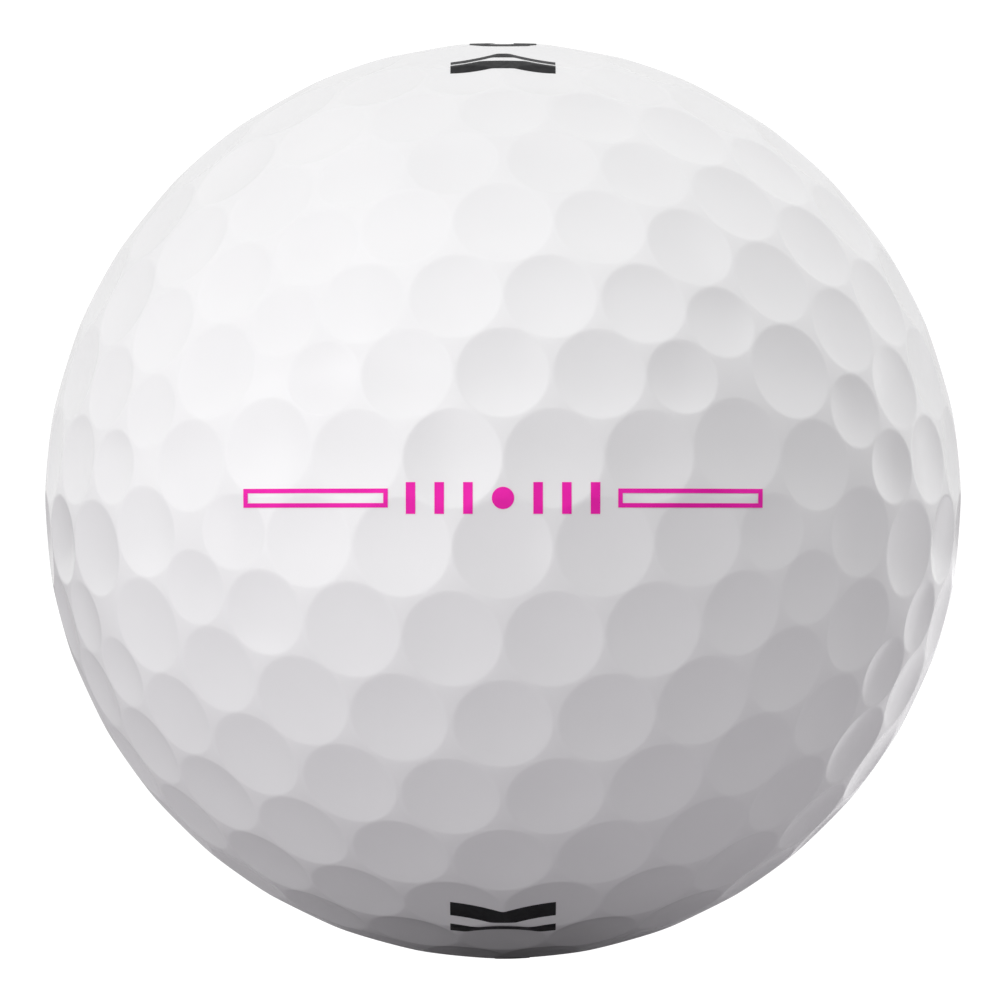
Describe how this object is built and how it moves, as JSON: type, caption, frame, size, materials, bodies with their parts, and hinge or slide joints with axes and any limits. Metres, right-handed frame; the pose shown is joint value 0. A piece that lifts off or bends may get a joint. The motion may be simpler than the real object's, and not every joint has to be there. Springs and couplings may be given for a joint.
{
  "type": "golf ball",
  "caption": "Golf ball with a rubber core, an ionomer mantle, a dimpled white urethane cover with a wavy parting line, a magenta side mark and dark pole marks.",
  "frame": {"origin": "centre of the ball", "axes": "+Z through the upper pole mark, the cover's parting line runs round the XY plane, and the side mark faces -Y"},
  "size_m": [0.0426, 0.0427, 0.0428],
  "materials": {
    "core_rubber": "matte moulded",
    "mantle_ionomer": "satin moulded",
    "cover_urethane": "white with a gloss clear coat",
    "side_ink": "satin printed ink",
    "pole_ink": "satin printed ink"
  },
  "bodies": {
    "root": {"core": "core_rubber", "mantle_lower": "mantle_ionomer", "mantle_upper": "mantle_ionomer", "cover_lower": "cover_urethane", "cover_upper": "cover_urethane", "side_mark": "side_ink", "lower_pole_mark": "pole_ink", "upper_pole_mark": "pole_ink"}
  },
  "joints": []
}
